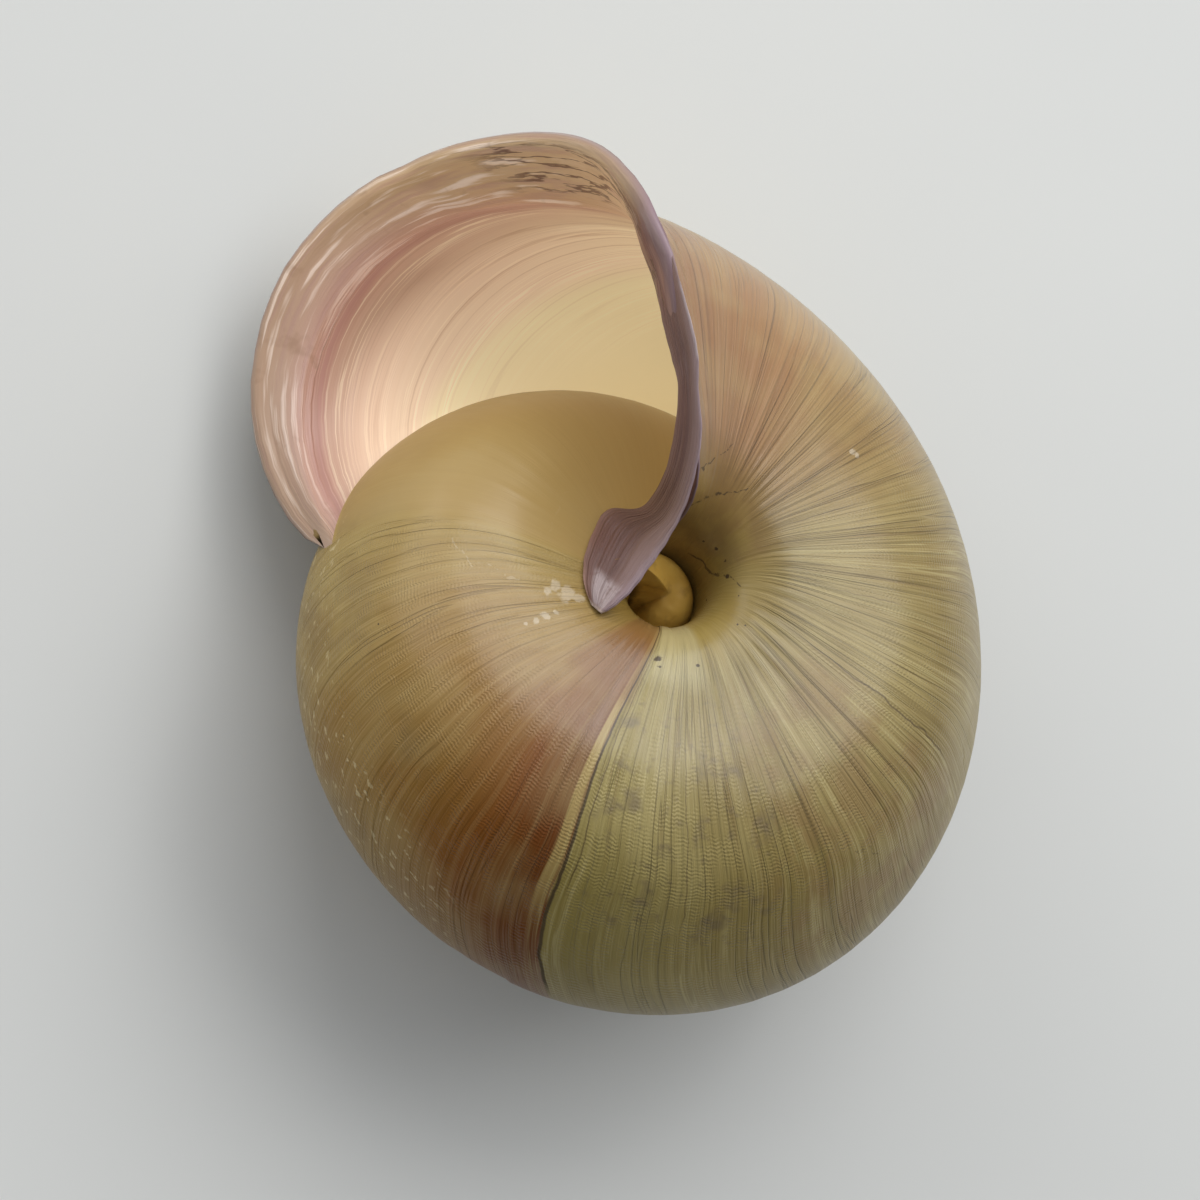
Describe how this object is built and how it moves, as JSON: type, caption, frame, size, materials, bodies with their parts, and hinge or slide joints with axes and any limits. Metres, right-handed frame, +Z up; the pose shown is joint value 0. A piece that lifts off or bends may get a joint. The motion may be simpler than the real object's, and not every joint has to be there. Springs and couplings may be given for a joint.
{
  "type": "land snail shell",
  "caption": "Low conical land snail shell, lying base upwards, with a flared lip round its open mouth and a narrow umbilicus partly under the lip's fold.",
  "frame": {"origin": "middle of the shell's box, on the surface that it lies on", "axes": "+Z up, away from the surface that the shell lies on, with its base upwards; +X and +Y level, with the mouth towards -X and +Y"},
  "size_m": [0.0312, 0.0348, 0.0199],
  "materials": {
    "shell_wall": "glossy"
  },
  "bodies": {
    "root": {"shell": "shell_wall"}
  },
  "joints": []
}
